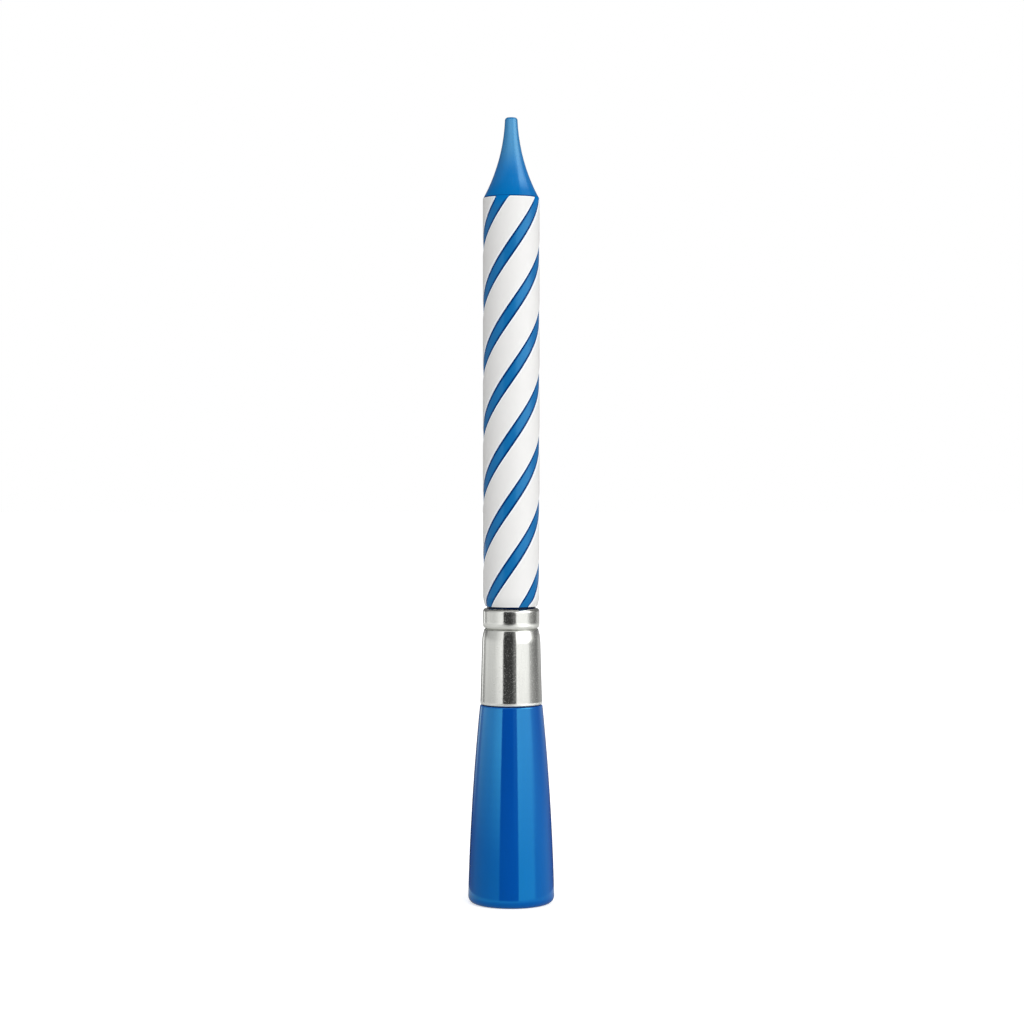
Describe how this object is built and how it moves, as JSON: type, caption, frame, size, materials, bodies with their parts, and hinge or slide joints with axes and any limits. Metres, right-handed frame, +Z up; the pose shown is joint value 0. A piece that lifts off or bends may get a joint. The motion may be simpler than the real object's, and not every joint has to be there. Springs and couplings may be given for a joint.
{
  "type": "musical birthday candle",
  "caption": "Battery candle with a hollow-sided tip, spiral-striped body, metal collar and flared handle; twisting the candle on the handle lights it and plays a tune.",
  "frame": {"origin": "centre of the foot, on the plane that the handle stands on", "axes": "+Z up along the candle's axis, -Y towards the front that the picture shows, +X to the right"},
  "size_m": [0.0216, 0.0216, 0.1962],
  "materials": {
    "handle_blue": "high gloss moulding",
    "tip_blue": "translucent gloss moulding",
    "panel_white": "smooth satin moulding",
    "satin_steel": "satin turned steel",
    "cover_blue": "fine matt moulding",
    "natural_plastic": "natural moulding",
    "black_plastic": "fine matt moulding",
    "contact_brass": "rolled strip",
    "spring_steel": "bright plated",
    "lamp_clear": "cast clear resin",
    "board_green": "solder mask over glass fibre",
    "chip_black": "cast resin",
    "sounder_ceramic": "silvered ceramic",
    "wire_jacket": "soft insulation"
  },
  "bodies": {
    "handle": {"handle_shell": "handle_blue", "retaining_clip": "spring_steel", "switch_tracks": "contact_brass", "light_stalk": "natural_plastic", "tip_led": "lamp_clear", "led_wires": "wire_jacket", "circuit_board": "board_green", "melody_chip": "chip_black", "led_resistor": "chip_black", "drive_transistor": "chip_black", "battery_holder": "black_plastic", "button_cell_lower": "spring_steel", "button_cell_middle": "spring_steel", "button_cell_upper": "spring_steel", "battery_spring": "spring_steel", "negative_contact": "spring_steel", "positive_contact": "contact_brass", "piezo_disc": "contact_brass", "piezo_ceramic": "sounder_ceramic", "piezo_wires": "wire_jacket", "base_cover": "cover_blue", "base_screws": "spring_steel"},
    "candle": {"candle_core": "tip_blue", "spiral_ribs": "tip_blue", "candle_jacket": "panel_white", "candle_plug": "natural_plastic", "collar_ring": "satin_steel", "ferrule_sleeve": "satin_steel", "swivel_bush": "natural_plastic", "switch_wiper": "contact_brass"}
  },
  "joints": [
    {"name": "candle_twist", "type": "hinge", "parent": "handle", "child": "candle", "pos_m": [0, 0, 0.057], "axis": [0, 0, 1], "range_deg": [0, 60]}
  ]
}
